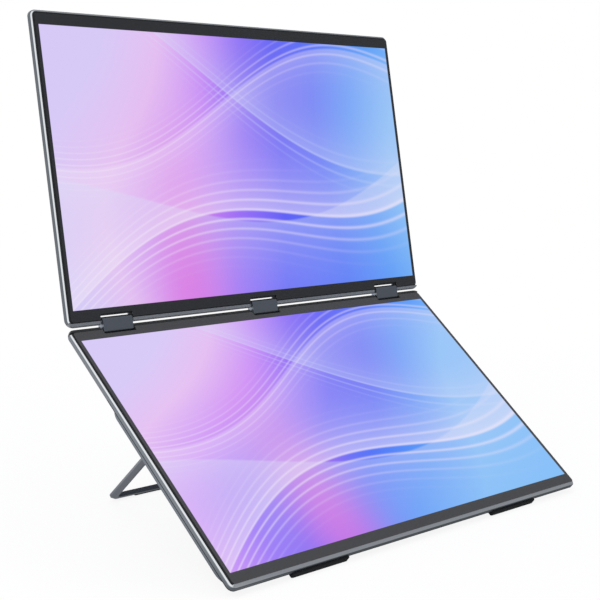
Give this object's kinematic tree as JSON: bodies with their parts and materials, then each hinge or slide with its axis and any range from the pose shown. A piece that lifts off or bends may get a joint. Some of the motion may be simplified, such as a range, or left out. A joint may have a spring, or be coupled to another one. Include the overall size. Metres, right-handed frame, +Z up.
{
  "type": "laptop screen extender",
  "caption": "Two stacked thin screens joined edge to edge by two-shaft friction hinges, standing on front feet and a fold-out wire stand behind.",
  "frame": {"origin": "on the surface it stands on, at the middle of the footprint box in its open stance", "axes": "+Z up, +X to the viewer's right along the hinge shafts, +Y away from the viewer, screens facing -Y"},
  "size_m": [0.354, 0.2304, 0.3564],
  "materials": {
    "frame": "bead-blasted grey anodised with bright bevels",
    "cover_glass": "hard-coated black-bordered cover sheet over a lit display",
    "back_cover": "bead-blasted grey anodised",
    "housing": "fine-textured moulded shell",
    "display": "liquid-crystal cell",
    "light_guide": "clear acrylic",
    "board": "solder-masked circuit board",
    "tray": "pressed sheet",
    "hinge_cover": "satin slate grey",
    "steel": "turned and ground",
    "socket": "plated sheet metal",
    "component": "moulded black",
    "button": "satin moulded cap",
    "kickstand": "satin grey",
    "rubber": "matt black"
  },
  "bodies": {
    "lower_screen": {"button_switches": "component", "front_feet": "rubber", "kickstand_pins": "steel", "lower_back_cover": "back_cover", "lower_backlight_tray": "tray", "lower_cover_glass": "cover_glass", "lower_driver_board": "board", "lower_frame": "frame", "lower_hinge_plates": "steel", "lower_hinge_shaft_centre": "steel", "lower_hinge_shaft_left": "steel", "lower_hinge_shaft_right": "steel", "lower_lcd_panel": "display", "lower_led_strip": "board", "lower_light_guide": "light_guide", "main_board": "board", "mini_hdmi_socket": "socket", "rear_housing": "housing", "speakers": "component", "usb_c_sockets": "socket"},
    "hinge_links": {"hinge_cover_centre": "hinge_cover", "hinge_cover_left": "hinge_cover", "hinge_cover_right": "hinge_cover", "hinge_friction_clips_centre": "steel", "hinge_friction_clips_left": "steel", "hinge_friction_clips_right": "steel"},
    "upper_screen": {"upper_back_cover": "back_cover", "upper_backlight_tray": "tray", "upper_cover_glass": "cover_glass", "upper_driver_board": "board", "upper_frame": "frame", "upper_hinge_plates": "steel", "upper_hinge_shaft_centre": "steel", "upper_hinge_shaft_left": "steel", "upper_hinge_shaft_right": "steel", "upper_lcd_panel": "display", "upper_led_strip": "board", "upper_light_guide": "light_guide"},
    "kickstand": {"kickstand_frame": "kickstand", "kickstand_pad": "rubber"},
    "power_button": {"power_button": "button"},
    "menu_rocker": {"menu_rocker": "button"}
  },
  "joints": [
    {"name": "lower_hinge", "type": "hinge", "parent": "lower_screen", "child": "hinge_links", "pos_m": [0, 0.04821, 0.14114], "axis": [1, 0, 0], "range_deg": [-85, 49.8]},
    {"name": "upper_hinge", "type": "hinge", "parent": "hinge_links", "child": "upper_screen", "pos_m": [0, 0.04925, 0.14705], "axis": [1, 0, 0], "range_deg": [-45, 90]},
    {"name": "kickstand_hinge", "type": "hinge", "parent": "lower_screen", "child": "kickstand", "pos_m": [0, 0.00398, 0.09799], "axis": [1, 0, 0], "range_deg": [-98.6, 0]},
    {"name": "power_button_press", "type": "slide", "parent": "lower_screen", "child": "power_button", "axis": [-1, 0, 0], "range_m": [0, 0.0004], "stiffness_N_per_m": 800},
    {"name": "menu_rocker_tip", "type": "hinge", "parent": "lower_screen", "child": "menu_rocker", "pos_m": [0.1743, -0.08069, 0.02715], "axis": [0, 0.6406, -0.7678], "range_deg": [-3, 3], "stiffness_Nm_per_rad": 0.05}
  ]
}
